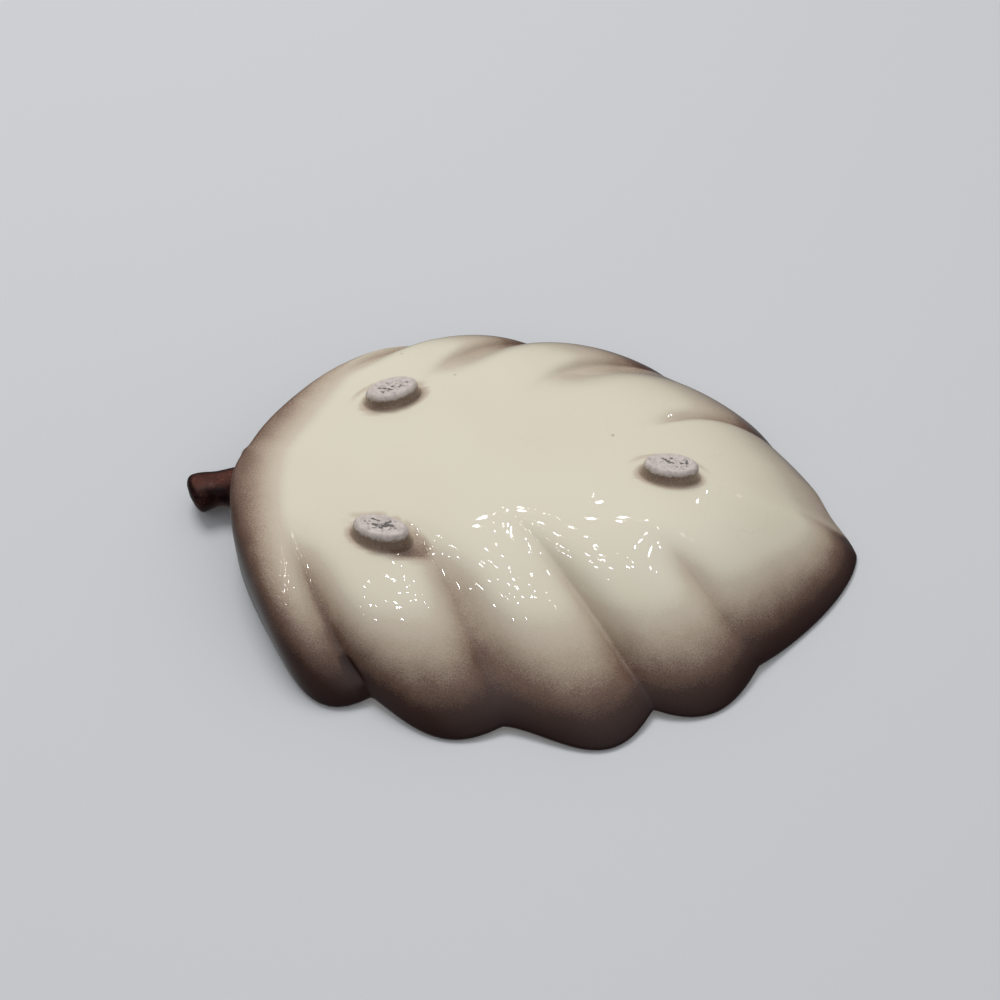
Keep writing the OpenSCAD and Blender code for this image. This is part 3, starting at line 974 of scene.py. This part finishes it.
def sprayedAndShadedGlaze():
    material, tree, shader, place = newMaterial("sprayedAndShadedGlaze")
    colour = use(tree, sprayShadeRamp, Spray=painted(tree, "sprayAndShade"), Place=place)
    tree.links.new(colour["Color"], shader.inputs["Base Color"])
    roughened(tree, shader, colour["Mask"], cream["roughness"], cream["brownRoughness"])
    shader.inputs["Specular IOR Level"].default_value = cream["specular"]
    height = use(tree, ripple, Place=place, SkinShare=cream["skinShare"])["Height"]
    bumped(tree, shader, height, cream["rippleStrength"], cream["rippleDepth"])
    return material


clay = {
    "colour": (0.62, 0.54, 0.50), "deep": (0.45, 0.39, 0.36), "pit": (0.08, 0.075, 0.075),
    "roughness": 0.85,
    "edgeScale": 900.0, "edgeRagged": 0.6, "edgeSpread": (0.60, 1.0),
    "cloudScale": 500.0, "cloudSpread": (0.35, 0.7),
    "marksScale": 900.0, "drag": (0.55, 1.0, 1.0),       # the marks are drawn out along the bowl
    "inMiddle": 0.22,                    # more marks in the middle of a pad
    "pitScale": 260.0, "pitShare": 0.3, "pitSpread": (0.84, 0.93), "pitDark": 0.9, "pitDeep": 0.6,
    "sandScale": 1600.0, "sandStrength": 0.5, "sandDepth": 0.3 * mm,
}


def footClay():
    # bare clay on the pad, glaze round it
    material, tree, shader, place = newMaterial("bareClay")
    ragged = times(tree, noise(tree, place, clay["edgeScale"], 2.0), clay["edgeRagged"])
    bare = spread(tree, plus(tree, painted(tree, "bare"), ragged), *clay["edgeSpread"])
    glazed = use(tree, sprayShadeRamp, Spray=painted(tree, "sprayAndShade"), Place=place)["Color"]
    cloud = spread(tree, noise(tree, place, clay["cloudScale"], 4.0, 0.7), *clay["cloudSpread"])
    body = blend(tree, cloud, clay["colour"], clay["deep"])
    drawn = add(tree, "ShaderNodeMapping", {"Vector": place, "Scale": clay["drag"]}, vector_type="POINT")
    marks = plus(tree, noise(tree, drawn.outputs[0], clay["marksScale"], 3.0, 0.6),
                 times(tree, painted(tree, "middle"), clay["inMiddle"]))
    marks = plus(tree, marks, times(tree, noise(tree, place, clay["pitScale"], 1.0), clay["pitShare"]))
    pits = spread(tree, marks, *clay["pitSpread"])
    body = blend(tree, times(tree, pits, clay["pitDark"]), body, clay["pit"])
    tree.links.new(blend(tree, bare, glazed, body), shader.inputs["Base Color"])
    roughened(tree, shader, bare, cream["roughness"], clay["roughness"])
    sand = minus(tree, noise(tree, place, clay["sandScale"], 3.0, 0.7), times(tree, pits, clay["pitDeep"]))
    bumped(tree, shader, times(tree, sand, bare), clay["sandStrength"], clay["sandDepth"])
    return material


dark = {
    "colour": (0.009, 0.002, 0.002), "bronzeAndHighlight": (0.19, 0.07, 0.05),
    "roughness": 0.24, "cloudRoughness": 0.36, "specular": 0.12,
    "fleckScale": 900.0, "fleckSize": 0.5, "fleckShare": 0.3, "fleckDepth": 0.8,
    "bronzeLeast": 0.15, "cloudScale": 160.0, "cloudSpread": (0.40, 0.70),
    "paintedHighlight": 0.30, "highlightSpread": (-0.75, -1.0),         # painted highlight: more bronze where the stem faces down
    "waves": 120.0, "skin": 1200.0, "skinShare": 0.3, "rippleStrength": 0.35, "rippleDepth": 0.5 * mm,
}


def darkGlaze():
    material, tree, shader, place = newMaterial("darkGlaze")
    fleck = use(tree, specks, Place=place, Scale=dark["fleckScale"], Size=dark["fleckSize"],
                Share=dark["fleckShare"])["Mask"]
    cloud = spread(tree, noise(tree, place, dark["cloudScale"], 3.0, 0.6), *dark["cloudSpread"])
    normal = tree.nodes.new("ShaderNodeNewGeometry").outputs["Normal"]
    # painted highlight: the bronze colour laid where the stem's surface faces down, on top of the bronze
    # flecks
    paintedHighlight = times(tree, spread(tree, heightOf(tree, normal), *dark["highlightSpread"]), dark["paintedHighlight"])
    bronzeAndHighlight = plus(tree, times(tree, fleck, dark["fleckDepth"]), dark["bronzeLeast"])
    bronzeAndHighlight = plus(tree, times(tree, bronzeAndHighlight, cloud), paintedHighlight, clamp=True)
    tree.links.new(blend(tree, bronzeAndHighlight, dark["colour"], dark["bronzeAndHighlight"]), shader.inputs["Base Color"])
    shader.inputs["Specular IOR Level"].default_value = dark["specular"]
    roughened(tree, shader, cloud, dark["roughness"], dark["cloudRoughness"])
    height = use(tree, ripple, Place=place, Waves=dark["waves"], Skin=dark["skin"],
                 SkinShare=dark["skinShare"])["Height"]
    bumped(tree, shader, height, dark["rippleStrength"], dark["rippleDepth"])
    return material


leafShell.data.materials.append(sprayedAndShadedGlaze())
stemPiece.data.materials.append(darkGlaze())
clayMaterial = footClay()
for piece in footPieces:
    piece.data.materials.append(clayMaterial)
print("materials made")
